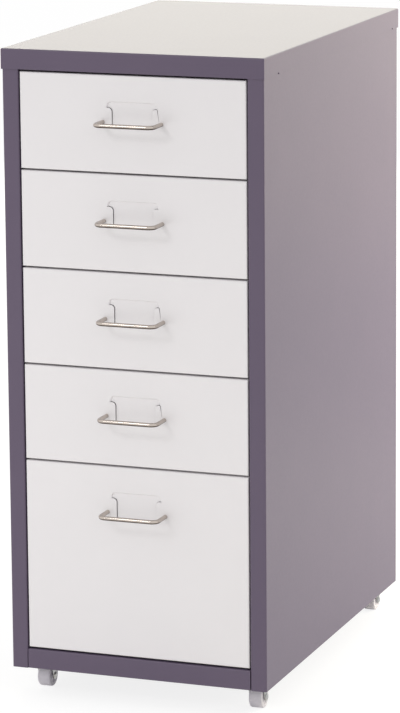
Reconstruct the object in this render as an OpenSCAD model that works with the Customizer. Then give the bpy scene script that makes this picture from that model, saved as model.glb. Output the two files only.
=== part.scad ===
// Small drawer cabinet folded from sheet steel, standing on four swivel casters.
// Millimetres. X runs to the right, the drawers open towards -Y and Z is up.
// The origin is on the floor, below the middle of the overall box with the handles in it.

/* [Body] */
// Width over the side panels
body_w = 285; // [265:1:330]
// Depth from the face of the stiles to the rear flanges
body_d = 450; // [420:1:500]
// Height from the lower edge of the side panels to the top of the cap
body_h = 660; // [620:1:740]
// Thickness of the body sheet
sheet_t = 0.8; // [0.7:0.05:1]
// Outer radius of every bend in the body sheet
bend_r = 1.6; // [1.4:0.1:2]
// Width of the stile at the front of each side panel
stile_w = 17.5; // [17:0.5:22]
// Depth of the return behind each stile
stile_return = 14; // [12:0.5:18]
// Width of the flange at the rear of each side panel
rear_flange_w = 17; // [14:0.5:22]
// Width of the flange along the top of each side panel
top_flange_w = 14; // [10:0.5:14]

/* [Cap] */
// Height of the flange round the cap
cap_flange_h = 21.5; // [18:0.5:28]
// Gap between the cap's flange and the panels that it covers
cap_fit = 0.2; // [0.1:0.05:0.4]
// Depth of the return under the cap's front flange
cap_return = 10; // [6:0.5:12]
// Width of each locating notch in the cap's side flanges
notch_w = 5; // [3:0.5:8]
// Height of each locating notch
notch_h = 1.6; // [1:0.1:3]
// Distance of the front notch from the face of the stiles
notch_front = 42; // [30:1:60]
// Distance of the rear notch from the rear of the body
notch_rear = 22; // [15:1:40]

/* [Base] */
// Height of the rail below the lowest drawer
base_rail_h = 21.5; // [18:0.5:28]
// Depth of the return along the top of that rail
base_return = 11; // [8:0.5:13]
// Height of the base's side and rear flanges
base_flange_h = 18; // [12:1:24]
// Gap between the base and the stiles beside it
base_gap = 0.5; // [0.3:0.1:0.8]
// Depth of the stiffening flange along the top of the back panel
back_flange = 12; // [8:1:16]
// Gap at the end of a flange, so that it can be folded beside the next
relief = 0.5; // [0.3:0.1:1]

/* [Drawers] */
// Height of the lowest drawer, counted in small drawers
tall_units = 2; // [2:1:3]
// Gap above and below each drawer front
front_gap = 2; // [1.5:0.1:3]
// Gap between a drawer front and the stile beside it
side_gap = 1.5; // [1.2:0.1:2.5]
// How far the drawer fronts lie behind the face of the stiles
front_setback = 0.5; // [0:0.1:1.5]
// Depth of the flange round each drawer front
front_flange = 14; // [12:0.5:14]
// Depth of a drawer from the face of its front to the face of its back
drawer_d = 412; // [380:1:412]
// Height of a drawer's bottom above the lower edge of its front
bottom_lift = 6; // [4:0.5:10]
// Distance of a drawer's rim below the top edge of its front
rim_drop = 18; // [14:0.5:24]
// Width of the flange at each rim, which slides in the rails
runner_w = 7.7; // [7.2:0.1:8.5]
// Height of the lip at the edge of that flange
runner_lip = 6; // [4:0.5:8]
// Width of the tabs that join the sides to the front and the back
tab_w = 12; // [8:0.5:16]
// Distance of the top of a drawer's back below the rim
back_drop = 5; // [3:0.5:10]

/* [Rails] */
// Thickness of the rails and the posts that carry them
rail_t = 1; // [0.8:0.1:1]
// Distance of the rails outside the opening between the stiles
rail_setback = 1; // [0.5:0.1:2]
// Width of the lower leg of a rail
lower_leg_w = 8; // [7.5:0.1:8.4]
// Width of the upper leg of a rail
upper_leg_w = 6; // [5.5:0.1:6]
// Clearance between a drawer's runner and the web of its rail
runner_side = 0.8; // [0.5:0.1:1]
// Clearance under a drawer's runner
runner_below = 0.3; // [0.2:0.05:0.5]
// Clearance over a drawer's runner
runner_above = 0.5; // [0.3:0.05:0.8]
// How far a drawer opens before its stop meets the rail's ear
drawer_travel = 320; // [250:5:340]
// Length of the ear at the front of a rail, and of the stop on a runner
stop_len = 6; // [4:0.5:10]
// Width of the stop that stands on a runner
stop_w = 1.8; // [1.4:0.1:2]
// Height of the stop above the runner
stop_h = 1.3; // [1:0.1:1.5]
// How far the ear reaches inwards from the upper leg
ear_w = 2.3; // [2:0.1:2.4]
// Gap that is left between the ear and the stop when they meet
stop_clear = 0.3; // [0.2:0.05:0.5]
// Depth of a post's section from front to rear
post_d = 18; // [14:0.5:24]

/* [Handles] */
// Diameter of the handle's wire
wire_d = 4.5; // [4.3:0.1:6]
// Distance between the handle's two fixing holes
handle_c = 64; // [62:1:96]
// How far the handle stands out from the drawer front
handle_out = 28; // [22:1:36]
// Radius of the handle's bends, at the middle of the wire
handle_r = 7; // [6:0.5:10]
// Distance of the handle below the top edge of the drawer front
handle_drop = 48.5; // [42:0.5:55]
// Diameter of the handle's threaded ends
tail_d = 4; // [3.5:0.1:4.2]
// Length of the threaded ends behind the face of the front
tail_l = 6; // [5.2:0.1:8]
// Radial clearance round the threaded ends
tail_clear = 0.05; // [0.02:0.01:0.1]
// Width of the handle nuts across their flats
nut_af = 7; // [6.5:0.1:8]
// Thickness of the handle nuts
nut_h = 3.2; // [2.5:0.1:4]

/* [Label holder] */
// Width of the pressed recess
label_w = 54; // [46:1:54]
// Height of the recess above the handle's centre line
label_up = 21; // [18:0.5:26]
// Depth of the recess below the handle's centre line
label_down = 5.5; // [4:0.5:14]
// Depth of the recess from the face
label_depth = 1.6; // [1.4:0.1:2.2]
// Radius of the corners of the recess and of the tongues
label_r = 4; // [2:0.5:4.5]
// Radius to which the edge of the recess is pressed
press_r = 1.2; // [0.6:0.1:1.4]
// Width of the tongue left standing at each side of the recess
tongue_w = 5; // [4:0.5:7]
// Height of the tongues above the handle's centre line
tongue_up = 15; // [10:0.5:16]
// Width of the slit that frees each tongue from the floor of the recess
slit_w = 0.2; // [0.1:0.1:1]

/* [Casters] */
// Height from the floor to the lower edge of the body
caster_h = 30; // [30:0.5:38]
// Diameter of the wheels
wheel_d = 24; // [20:0.5:24]
// Width of the wheels
wheel_w = 14; // [10:0.5:16]
// Radius of the rounded edge of a wheel's tread
wheel_round = 2.5; // [1.5:0.1:3]
// Distance of a wheel's axle behind the kingpin
trail = 9; // [6:0.5:10]
// Distance of the kingpins from the sides of the body
caster_side = 23; // [22:0.5:30]
// Distance of the kingpins from the front and the rear of the body
caster_end = 31; // [30:0.5:45]
// Side of the square top plate
plate_w = 32; // [30:1:36]
// Thickness of the top plate
plate_t = 1.5; // [1.2:0.1:2]
// Radius of the corners of the top plate
plate_r = 4; // [2:0.5:4]
// Distance between the screws in the top plate
plate_c = 24; // [23:0.5:26]
// Diameter of the ball race under the top plate
race_d = 20; // [16:0.5:20]
// Height of the ball race
race_h = 2.2; // [1.5:0.1:2.6]
// Thickness of the fork's sheet
fork_t = 1.2; // [1:0.1:1.4]
// Gap between a wheel and each cheek of its fork
cheek_gap = 0.6; // [0.4:0.1:1]
// Half the width of the fork's top from front to rear
fork_half = 7.5; // [6.5:0.5:8.5]
// Radius of the eye at the axle, and half the width of the cheek above it
eye_r = 4.5; // [3.5:0.1:5]
// Slope of the cheeks towards the axle
cheek_lean = 15; // [8:1:20]
// Height of the shoulders beside the fork's bridge
shoulder = 5; // [3:0.5:6]
// Diameter of the axle
axle_d = 4; // [3:0.1:4.5]
// Diameter of the kingpin
kingpin_d = 5; // [4:0.1:6]
// Diameter of the heads of the kingpin and the axle
rivet_head_d = 7.5; // [7:0.1:8]
// Height of those heads
rivet_head_h = 1.4; // [1:0.1:1.5]
// Radial clearance round the kingpin and the axle
pivot_clear = 0.05; // [0.02:0.01:0.1]
// Axial clearance above and below the fork's top
swivel_clear = 0.3; // [0.2:0.05:0.4]

/* [Screws] */
// Diameter of the screws
screw_d = 3.4; // [3:0.1:4]
// Diameter of a screw's head
screw_head_d = 6.4; // [6:0.1:7]
// Height of a screw's head
screw_head_h = 1.9; // [1.5:0.1:2.4]
// Length of a screw under its head
screw_l = 6; // [5:0.5:9]
// Radial clearance round a screw
screw_clear = 0.05; // [0.02:0.01:0.1]
// Number of screws down each side of the back panel
back_rows = 4; // [3:1:6]
// Distance of the end screws of a row from the ends of the back panel
back_end = 60; // [40:5:90]
// Distance of the screws along the base from the middle of the back
back_base_x = 70; // [40:5:90]

/* [Hidden] */
$fn = 48;
// How far a cutting shape runs past what it cuts
past = 1;
small_drawers = 4;

// Front and rear of the body, so that the box over handles and screw heads is centred on Y
cap_proud = cap_fit + sheet_t;
front_reach = handle_out - front_setback;
rear_reach = max(cap_proud, screw_head_h);
front_y = (front_reach - rear_reach - body_d) / 2;
rear_y = front_y + body_d;
face_y = front_y + front_setback;
cap_z = caster_h + body_h;
side_z = cap_z - sheet_t;

// Faces across the width, each as a distance from the middle
inner_x = body_w / 2 - sheet_t;
opening_x = body_w / 2 - stile_w;
rail_face_x = opening_x + rail_setback;
rail_in_x = rail_face_x - rail_t;
runner_x = rail_in_x - runner_side;
tray_x = runner_x - runner_w;
tray_in_x = tray_x - sheet_t;
front_x = opening_x - side_gap;
lower_leg_x = rail_face_x - lower_leg_w;
upper_leg_x = rail_face_x - upper_leg_w;
stop_x = upper_leg_x - stop_clear - stop_w;
back_x = inner_x - bend_r;

// Planes from front to rear
rail_y0 = face_y + front_flange + relief;
post_y0 = front_y + stile_return + relief + base_gap;
post_y1 = rear_y - 2 * sheet_t - bend_r - relief;
rail_y1 = post_y1;
tray_y0 = face_y + sheet_t;
tray_y1 = face_y + drawer_d;
runner_y0 = rail_y0 + relief;
back_in_y = rear_y - 2 * sheet_t;
stop_y = rail_y0 + stop_len + drawer_travel + stop_clear;

// Heights: the drawer fronts share the opening in equal units
base_rail_z = caster_h + base_rail_h;
opening_z = cap_z - cap_flange_h;
pitch = (opening_z - base_rail_z - front_gap) / (small_drawers + tall_units);
function units(i) = i < small_drawers ? 1 : tall_units;
function front_h(i) = units(i) * pitch - front_gap;
function front_z1(i) = opening_z - front_gap - i * pitch;
function front_z0(i) = front_z1(i) - front_h(i);
function handle_z(i) = front_z1(i) - handle_drop;
function bottom_z(i) = front_z0(i) + bottom_lift;
function rim_z(i) = front_z1(i) - rim_drop;
function leg_z(i) = rim_z(i) - runner_lip - runner_below;
channel_h = runner_below + runner_lip + runner_above;
stile_z1 = side_z - bend_r;

// Casters
wheel_r = wheel_d / 2;
race_z = caster_h - plate_t - race_h;
fork_z = race_z - swivel_clear;
// From front to rear, where the front and the rear edge of a cheek meet a height
function cheek_y(s, z) = trail + s * eye_r / cos(cheek_lean) - (z - wheel_r) * tan(cheek_lean);
head_z = fork_z - fork_t - swivel_clear - rivet_head_h;
cheek_x = wheel_w / 2 + cheek_gap + fork_t;
caster_x = body_w / 2 - caster_side;
caster_front_y = front_y + caster_end;
caster_rear_y = rear_y - caster_end;

body_paint = [0.42, 0.38, 0.46];
front_paint = [0.91, 0.89, 0.89];
zinc = [0.66, 0.67, 0.69];
nickel = [0.80, 0.79, 0.77];
grey_plastic = [0.70, 0.71, 0.74];

// ---- Shapes that several parts share ----

// Carry an outline along one axis: (x, y) along Z, (x, z) along Y and (y, z) along X
module along_z(z0, z1) { translate([0, 0, z0]) linear_extrude(z1 - z0) children(); }
module along_y(y0, y1) { translate([0, y1, 0]) rotate([90, 0, 0]) linear_extrude(y1 - y0) children(); }
module along_x(x0, x1) { translate([x0, 0, 0]) rotate([90, 0, 90]) linear_extrude(x1 - x0) children(); }

// A round rod along Y or along X
module rod_y(x, z, y0, y1, r) { translate([x, y0, z]) rotate([-90, 0, 0]) cylinder(r = r, h = y1 - y0); }
module rod_x(x0, x1, y, z, r) { translate([x0, y, z]) rotate([0, 90, 0]) cylinder(r = r, h = x1 - x0); }

// Section of a folded sheet whose middle runs along the path, with square corners to bend
module folded(path, t = sheet_t, r = bend_r) {
    m = r - t / 2;
    last = len(path) - 1;
    for (i = [1 : last]) {
        run = path[i] - path[i - 1];
        dir = run / norm(run);
        from = path[i - 1] + (i > 1 ? m : 0) * dir;
        to = path[i] - (i < last ? m : 0) * dir;
        translate(from) rotate(atan2(run.y, run.x)) translate([0, -t / 2]) square([norm(to - from), t]);
    }
    for (i = [1 : last - 1]) {
        into = (path[i] - path[i - 1]) / norm(path[i] - path[i - 1]);
        out = (path[i + 1] - path[i]) / norm(path[i + 1] - path[i]);
        translate(path[i] + (out - into) * m) intersection() {
            difference() {
                circle(r);
                circle(r - t);
            }
            polygon([[0, 0], -out * r, (into - out) * r, into * r]);
        }
    }
}

// Rectangle from one corner to the other with four round corners
module round_rect(a, b, r) {
    translate([a.x + r, a.y]) square([b.x - a.x - 2 * r, b.y - a.y]);
    translate([a.x, a.y + r]) square([b.x - a.x, b.y - a.y - 2 * r]);
    for (x = [a.x + r, b.x - r], y = [a.y + r, b.y - r]) translate([x, y]) circle(r);
}

// Upright rectangle whose two top corners are round
module crowned(w, h, r) {
    translate([-w / 2, 0]) square([w, h - r]);
    translate([r - w / 2, 0]) square([w - 2 * r, h]);
    for (x = [r - w / 2, w / 2 - r]) translate([x, h - r]) circle(r);
}

// Block whose four top edges are round
module crowned_block(w, l, h, r) {
    intersection() {
        along_y(-l / 2, l / 2) crowned(w, h, r);
        along_x(-w / 2, w / 2) crowned(l, h, r);
    }
}

// Shallow folded pan, open below, with its face up
module pan(w, l, h, t = sheet_t, r = bend_r) {
    difference() {
        crowned_block(w, l, h, r);
        translate([0, 0, -past]) crowned_block(w - 2 * t, l - 2 * t, h - t + past, r - t);
    }
}

// Pan-head screw on Z, its shank down and the seat of its head at zero
module screw() {
    translate([0, 0, -screw_l]) cylinder(d = screw_d, h = screw_l);
    rotate_extrude() intersection() {
        translate([0, screw_head_h - screw_head_d]) circle(screw_head_d);
        square([screw_head_d / 2, screw_head_h]);
    }
}

// The shape at both sides of the cabinet
module both_sides() {
    children();
    mirror([1, 0, 0]) children();
}

// ---- Body ----

// Heights of the screws down the sides of the back panel
function back_row_z(i) = caster_h + back_end + i * (body_h - 2 * back_end) / (back_rows - 1);
back_screw_x = body_w / 2 - rear_flange_w / 2;
back_base_z = caster_h + base_flange_h / 2;

module back_side_holes() {
    for (i = [0 : back_rows - 1])
        rod_y(back_screw_x, back_row_z(i), rear_y - screw_l - past, rear_y + past, screw_d / 2 + screw_clear);
}

module back_base_holes() {
    for (x = [-back_base_x, back_base_x])
        rod_y(x, back_base_z, rear_y - screw_l - past, rear_y, screw_d / 2 + screw_clear);
}

// Right side panel: wall, stile with its return, rear flange and top flange from one sheet
module side() {
    h = sheet_t / 2;
    wall_x = body_w / 2 - h;
    color(body_paint) difference() {
        union() {
            along_z(caster_h, stile_z1) folded([
                [opening_x + h, front_y + stile_return],
                [opening_x + h, front_y + h],
                [wall_x, front_y + h],
                [wall_x, rear_y - h],
                [body_w / 2 - rear_flange_w, rear_y - h]]);
            along_y(front_y + bend_r + relief, rear_y - bend_r - relief) folded([
                [wall_x, stile_z1 - bend_r],
                [wall_x, side_z - h],
                [body_w / 2 - top_flange_w, side_z - h]]);
        }
        back_side_holes();
    }
}

// Cap: a pan over the tops of the sides, its front flange folded back under the opening's edge
module top_cap() {
    w = body_w + 2 * cap_proud;
    l = body_d + 2 * cap_proud;
    cap_y0 = front_y - cap_proud;
    return_x = opening_x - base_gap;
    color(body_paint) {
        difference() {
            translate([0, (front_y + rear_y) / 2, opening_z]) pan(w, l, cap_flange_h);
            translate([-return_x, cap_y0 - past, opening_z - past])
                cube([2 * return_x, sheet_t + 2 * past, past + bend_r]);
            for (y = [front_y + notch_front, rear_y - notch_rear])
                translate([-w / 2 - past, y - notch_w / 2, opening_z - past])
                    cube([w + 2 * past, notch_w, past + notch_h]);
        }
        along_x(-return_x, return_x) folded([
            [cap_y0 + cap_return, opening_z + sheet_t / 2],
            [cap_y0 + sheet_t / 2, opening_z + sheet_t / 2],
            [cap_y0 + sheet_t / 2, opening_z + cap_flange_h / 2]]);
    }
}

module caster_places() {
    for (x = [-caster_x, caster_x], y = [caster_front_y, caster_rear_y]) translate([x, y, 0]) children();
}

module plate_holes(z0, z1) {
    for (x = [-plate_c / 2, plate_c / 2], y = [-plate_c / 2, plate_c / 2])
        translate([x, y, z0]) cylinder(d = screw_d + 2 * screw_clear, h = z1 - z0);
}

// Base: floor of the body with the front rail, side flanges and rear flange folded up
module base_tray() {
    h = sheet_t / 2;
    rail_x = opening_x - base_gap;
    wide_y0 = front_y + stile_return + base_gap;
    wide_y1 = back_in_y - bend_r;
    flange_y0 = post_y0 + post_d + relief;
    flange_y1 = post_y1 - post_d - relief;
    color(body_paint) difference() {
        union() {
            along_x(-rail_x, rail_x) folded([
                [front_y + base_return, base_rail_z - h],
                [front_y + h, base_rail_z - h],
                [front_y + h, caster_h + h],
                [wide_y0 + bend_r, caster_h + h]]);
            translate([bend_r - inner_x, wide_y0, caster_h])
                cube([2 * (inner_x - bend_r), wide_y1 - wide_y0, sheet_t]);
            for (span = [[wide_y0, flange_y0 - relief], [flange_y1 + relief, wide_y1]])
                translate([-inner_x, span[0], caster_h]) cube([2 * inner_x, span[1] - span[0], sheet_t]);
            both_sides() along_y(flange_y0, flange_y1) folded([
                [inner_x - h, caster_h + base_flange_h],
                [inner_x - h, caster_h + h],
                [inner_x - 2 * bend_r, caster_h + h]]);
            along_x(relief - back_x, back_x - relief) folded([
                [wide_y1 - bend_r, caster_h + h],
                [back_in_y - h, caster_h + h],
                [back_in_y - h, caster_h + base_flange_h]]);
        }
        caster_places() plate_holes(caster_h - past, caster_h + sheet_t + past);
        back_base_holes();
    }
}

// Back panel: lies inside the rear flanges of the sides, with a stiffening flange at its top
module back_panel() {
    h = sheet_t / 2;
    top_x = inner_x - top_flange_w - bend_r;
    color(body_paint) difference() {
        union() {
            translate([-back_x, back_in_y, caster_h + relief])
                cube([2 * back_x, sheet_t, stile_z1 - caster_h - 2 * relief]);
            along_x(-top_x, top_x) folded([
                [back_in_y + h, stile_z1 - bend_r],
                [back_in_y + h, side_z - h],
                [back_in_y - back_flange, side_z - h]]);
        }
        both_sides() back_side_holes();
        back_base_holes();
    }
}

module back_screws() {
    color(zinc) {
        both_sides() for (i = [0 : back_rows - 1])
            translate([back_screw_x, rear_y, back_row_z(i)]) rotate([-90, 0, 0]) screw();
        for (x = [-back_base_x, back_base_x])
            translate([x, rear_y - sheet_t, back_base_z]) rotate([-90, 0, 0]) screw();
    }
}

// ---- Runner frame ----

// Upright channel between the side wall and the rails, its back to the given plane
module post(back_y, inward) {
    h = rail_t / 2;
    y0 = back_y + inward * h;
    y1 = back_y + inward * post_d;
    color(body_paint) difference() {
        along_z(caster_h + sheet_t, stile_z1 - relief) folded([
            [inner_x - h, y1],
            [inner_x - h, y0],
            [rail_face_x + h, y0],
            [rail_face_x + h, y1]], rail_t);
        back_side_holes();
    }
}

// Rail of one drawer: a channel open towards the drawer, with an ear at its front as the stop
module rail(i) {
    h = rail_t / 2;
    low = leg_z(i);
    high = low + channel_h;
    color(body_paint) {
        along_y(rail_y0, rail_y1) folded([
            [lower_leg_x, low - h],
            [rail_face_x - h, low - h],
            [rail_face_x - h, high + h],
            [upper_leg_x, high + h]], rail_t);
        translate([upper_leg_x - ear_w, rail_y0, high]) cube([ear_w + h, stop_len, rail_t]);
    }
}

module rails() {
    for (i = [0 : small_drawers]) rail(i);
}

// ---- Drawers ----

// Outline of the label recess on the face, about the handle's centre line
module label_outline(grow) {
    round_rect([-label_w / 2 - grow, -label_down - grow], [label_w / 2 + grow, label_up + grow],
        label_r + grow);
}

// Outline of the two tongues that stand over a card's edges, grown by a gap round them
module tongues(grow) {
    for (s = [-1, 1]) {
        root = s * (label_w / 2 + label_r + past);
        tip = s * (label_w / 2 - tongue_w - grow);
        round_rect([min(root, tip), -label_down - 2 * label_r], [max(root, tip), tongue_up + grow],
            label_r + grow);
    }
}

// Pressed cup behind the face: its floor and walls, cut away behind the tongues
module label_cup() {
    difference() {
        along_y(face_y + sheet_t / 2, face_y + label_depth + sheet_t) label_outline(sheet_t);
        along_y(face_y, face_y + label_depth) label_outline(0);
        along_y(face_y + sheet_t, face_y + label_depth + sheet_t + past) tongues(slit_w);
    }
}

// Section of what comes off beside the edge of the recess to round it
module edge_off() {
    difference() {
        translate([-past, -past]) square(press_r + past);
        translate([press_r, press_r]) circle(press_r);
    }
}

// What comes off the edge of the recess, apart from the tongues
module label_edge() {
    x = label_w / 2;
    difference() {
        translate([0, face_y, 0]) {
            translate([0, 0, label_up]) along_x(label_r - x, x - label_r) edge_off();
            translate([0, 0, -label_down]) along_x(label_r - x, x - label_r) mirror([0, 1]) edge_off();
            translate([x, 0, label_r - label_down])
                linear_extrude(label_up + label_down - 2 * label_r) edge_off();
            translate([-x, 0, label_r - label_down])
                linear_extrude(label_up + label_down - 2 * label_r) mirror([1, 0]) edge_off();
            for (s = [0, 1], top = [0, 1]) mirror([s, 0, 0])
                translate([x - label_r, 0, top ? label_up - label_r : label_r - label_down])
                    rotate([-90, -90 * top, 0]) rotate_extrude(angle = 90)
                        translate([label_r, 0]) edge_off();
        }
        along_y(face_y - 2 * past, face_y + press_r + past) tongues(0);
    }
}

// Drawer front: a pan with a pressed label holder and two handle holes
module drawer_front(i) {
    zc = handle_z(i);
    color(front_paint) difference() {
        union() {
            difference() {
                translate([0, face_y + front_flange, (front_z0(i) + front_z1(i)) / 2]) rotate([90, 0, 0])
                    pan(2 * front_x, front_h(i), front_flange);
                translate([0, 0, zc]) along_y(face_y - past, face_y + sheet_t + past) difference() {
                    label_outline(0);
                    tongues(0);
                }
            }
            translate([0, 0, zc]) label_cup();
        }
        translate([0, 0, zc]) label_edge();
        for (x = [-handle_c / 2, handle_c / 2])
            rod_y(x, zc, face_y - past, face_y + 2 * sheet_t, tail_d / 2 + tail_clear);
    }
}

// Drawer tray: bottom and both sides from one sheet, rims turned out and down as runners
module drawer_tray(i) {
    h = sheet_t / 2;
    z0 = bottom_z(i) + h;
    z1 = rim_z(i) - h;
    y0 = tray_y0 + bend_r;
    color(front_paint) {
        difference() {
            along_y(y0, tray_y1) folded([
                [h - runner_x, z1 + h - runner_lip],
                [h - runner_x, z1],
                [h - tray_x, z1],
                [h - tray_x, z0],
                [tray_x - h, z0],
                [tray_x - h, z1],
                [runner_x - h, z1],
                [runner_x - h, z1 + h - runner_lip]]);
            both_sides() translate([tray_x, y0 - past, z1 - runner_lip])
                cube([runner_w + past, runner_y0 - y0 + past, runner_lip + past]);
        }
        both_sides() along_z(z0 + bend_r + relief, z1 - runner_lip) folded([
            [tray_x - h, y0 + bend_r],
            [tray_x - h, tray_y0 + h],
            [tray_in_x - tab_w, tray_y0 + h]]);
        both_sides() translate([stop_x, stop_y, z1]) cube([stop_w, stop_len, h + stop_h]);
    }
}

// Drawer back: a sheet between the sides with a tab folded along each of them
module drawer_back(i) {
    h = sheet_t / 2;
    y1 = tray_y1 - relief;
    color(front_paint) along_z(bottom_z(i) + bend_r + relief, rim_z(i) - back_drop) folded([
        [h - tray_in_x, y1 - tab_w],
        [h - tray_in_x, y1 - h],
        [tray_in_x - h, y1 - h],
        [tray_in_x - h, y1 - tab_w]]);
}

// Handle: one bent wire with a threaded end behind each root
module drawer_handle(i) {
    r = wire_d / 2;
    bar_y = face_y - handle_out + r;
    bend_x = handle_c / 2 - handle_r;
    color(nickel) translate([0, 0, handle_z(i)]) {
        rod_x(-bend_x, bend_x, bar_y, 0, r);
        both_sides() {
            translate([bend_x, bar_y + handle_r, 0]) rotate([0, 0, -90])
                rotate_extrude(angle = 90) translate([handle_r, 0]) circle(r);
            rod_y(handle_c / 2, 0, bar_y + handle_r, face_y, r);
            rod_y(handle_c / 2, 0, face_y, face_y + tail_l, tail_d / 2);
        }
    }
}

module drawer_nuts(i) {
    color(zinc) both_sides() translate([handle_c / 2, face_y + sheet_t, handle_z(i)]) rotate([-90, 0, 0])
        difference() {
            cylinder(d = nut_af / cos(30), h = nut_h, $fn = 6);
            translate([0, 0, -past]) cylinder(d = tail_d + 2 * tail_clear, h = nut_h + 2 * past);
        }
}

// ---- Casters, each about its own kingpin with the floor at zero ----

module top_plate() {
    color(zinc) {
        difference() {
            union() {
                along_z(caster_h - plate_t, caster_h)
                    round_rect([-plate_w / 2, -plate_w / 2], [plate_w / 2, plate_w / 2], plate_r);
                translate([0, 0, race_z]) cylinder(d1 = race_d - race_h, d2 = race_d, h = race_h);
            }
            plate_holes(caster_h - plate_t - past, caster_h + past);
        }
        translate([0, 0, head_z]) cylinder(d = kingpin_d, h = caster_h - head_z);
        translate([0, 0, head_z]) cylinder(d = rivet_head_d, h = rivet_head_h);
    }
}

// Strip bent to the fork's bridge and cheeks, before its sides are cut
module fork_strip() {
    h = fork_t / 2;
    along_y(-fork_half - past, trail + eye_r + past) folded([
        [h - cheek_x, 0],
        [h - cheek_x, fork_z - h],
        [cheek_x - h, fork_z - h],
        [cheek_x - h, 0]], fork_t, 2 * fork_t);
}

// Fork: the strip cut to a bridge with shoulders and an eye, and bored for kingpin and axle
module fork() {
    color(zinc) difference() {
        union() {
            intersection() {
                fork_strip();
                along_x(-cheek_x - past, cheek_x + past) polygon([
                    [-fork_half, fork_z],
                    [fork_half, fork_z],
                    [cheek_y(1, fork_z - shoulder), fork_z - shoulder],
                    [trail + eye_r * cos(cheek_lean), wheel_r + eye_r * sin(cheek_lean)],
                    [trail - eye_r * cos(cheek_lean), wheel_r - eye_r * sin(cheek_lean)],
                    [cheek_y(-1, fork_z - shoulder), fork_z - shoulder],
                    [-fork_half, fork_z - 2 * fork_t]]);
            }
            intersection() {
                fork_strip();
                rod_x(-cheek_x - past, cheek_x + past, trail, wheel_r, eye_r);
            }
        }
        translate([0, 0, fork_z - 2 * fork_t]) cylinder(d = kingpin_d + 2 * pivot_clear, h = 3 * fork_t);
        rod_x(-cheek_x - past, cheek_x + past, trail, wheel_r, axle_d / 2 + pivot_clear);
    }
}

module axle() {
    color(zinc) {
        rod_x(-cheek_x - rivet_head_h, cheek_x + rivet_head_h, trail, wheel_r, axle_d / 2);
        both_sides() rod_x(cheek_x, cheek_x + rivet_head_h, trail, wheel_r, rivet_head_d / 2);
    }
}

// Wheel: a solid tread with rounded edges and a dished hub at each face
module wheel() {
    half = wheel_w / 2;
    dish = wheel_r * 0.62;
    color(grey_plastic) translate([0, trail, wheel_r]) rotate([0, 90, 0]) difference() {
        rotate_extrude() difference() {
            union() {
                translate([0, wheel_round - half]) square([wheel_r, wheel_w - 2 * wheel_round]);
                translate([0, -half]) square([wheel_r - wheel_round, wheel_w]);
                for (s = [-1, 1]) translate([wheel_r - wheel_round, s * (half - wheel_round)])
                    circle(wheel_round);
            }
            for (s = [-1, 1]) translate([axle_d, s > 0 ? half - past : -half - past])
                square([dish - axle_d, 2 * past]);
            translate([-2 * wheel_r, -wheel_w]) square([2 * wheel_r, 2 * wheel_w]);
        }
        translate([0, 0, -half - past]) cylinder(d = axle_d + 2 * pivot_clear, h = wheel_w + 2 * past);
    }
}

module caster_screws() {
    color(zinc) caster_places()
        for (x = [-plate_c / 2, plate_c / 2], y = [-plate_c / 2, plate_c / 2])
            translate([x, y, caster_h - plate_t]) rotate([180, 0, 0]) screw();
}

module fl() { translate([-caster_x, caster_front_y, 0]) children(); }
module fr() { translate([caster_x, caster_front_y, 0]) children(); }
module rl() { translate([-caster_x, caster_rear_y, 0]) children(); }
module rr() { translate([caster_x, caster_rear_y, 0]) children(); }

// ---- Nodes ----

mirror([1, 0, 0]) side();  // left_side
side();  // right_side
top_cap();
base_tray();
back_panel();
back_screws();
mirror([1, 0, 0]) post(post_y0, 1);  // left_front_post
mirror([1, 0, 0]) post(post_y1, -1);  // left_rear_post
post(post_y0, 1);  // right_front_post
post(post_y1, -1);  // right_rear_post
mirror([1, 0, 0]) rails();  // left_rails
rails();  // right_rails
drawer_front(0);  // drawer_1_front
drawer_tray(0);  // drawer_1_tray
drawer_back(0);  // drawer_1_back
drawer_handle(0);  // drawer_1_handle
drawer_nuts(0);  // drawer_1_nuts
drawer_front(1);  // drawer_2_front
drawer_tray(1);  // drawer_2_tray
drawer_back(1);  // drawer_2_back
drawer_handle(1);  // drawer_2_handle
drawer_nuts(1);  // drawer_2_nuts
drawer_front(2);  // drawer_3_front
drawer_tray(2);  // drawer_3_tray
drawer_back(2);  // drawer_3_back
drawer_handle(2);  // drawer_3_handle
drawer_nuts(2);  // drawer_3_nuts
drawer_front(3);  // drawer_4_front
drawer_tray(3);  // drawer_4_tray
drawer_back(3);  // drawer_4_back
drawer_handle(3);  // drawer_4_handle
drawer_nuts(3);  // drawer_4_nuts
drawer_front(4);  // drawer_5_front
drawer_tray(4);  // drawer_5_tray
drawer_back(4);  // drawer_5_back
drawer_handle(4);  // drawer_5_handle
drawer_nuts(4);  // drawer_5_nuts
fl() top_plate();  // caster_fl_plate
fl() fork();  // caster_fl_fork
fl() axle();  // caster_fl_axle
fl() wheel();  // caster_fl_wheel
fr() top_plate();  // caster_fr_plate
fr() fork();  // caster_fr_fork
fr() axle();  // caster_fr_axle
fr() wheel();  // caster_fr_wheel
rl() top_plate();  // caster_rl_plate
rl() fork();  // caster_rl_fork
rl() axle();  // caster_rl_axle
rl() wheel();  // caster_rl_wheel
rr() top_plate();  // caster_rr_plate
rr() fork();  // caster_rr_fork
rr() axle();  // caster_rr_axle
rr() wheel();  // caster_rr_wheel
caster_screws();
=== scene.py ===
"""Dresses a small sheet-steel drawer cabinet that stands on four swivel casters.

X runs to the right, the drawers open towards -Y and Z is up. Lengths are in metres, and a size that
a maker would give in millimetres is written as a number times MM.
"""
import logging
import math
from abc import ABC, abstractmethod
from dataclasses import dataclass
from enum import Enum
from typing import Any

import bmesh
import bpy
from mathutils import Euler, Matrix, Vector


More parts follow.
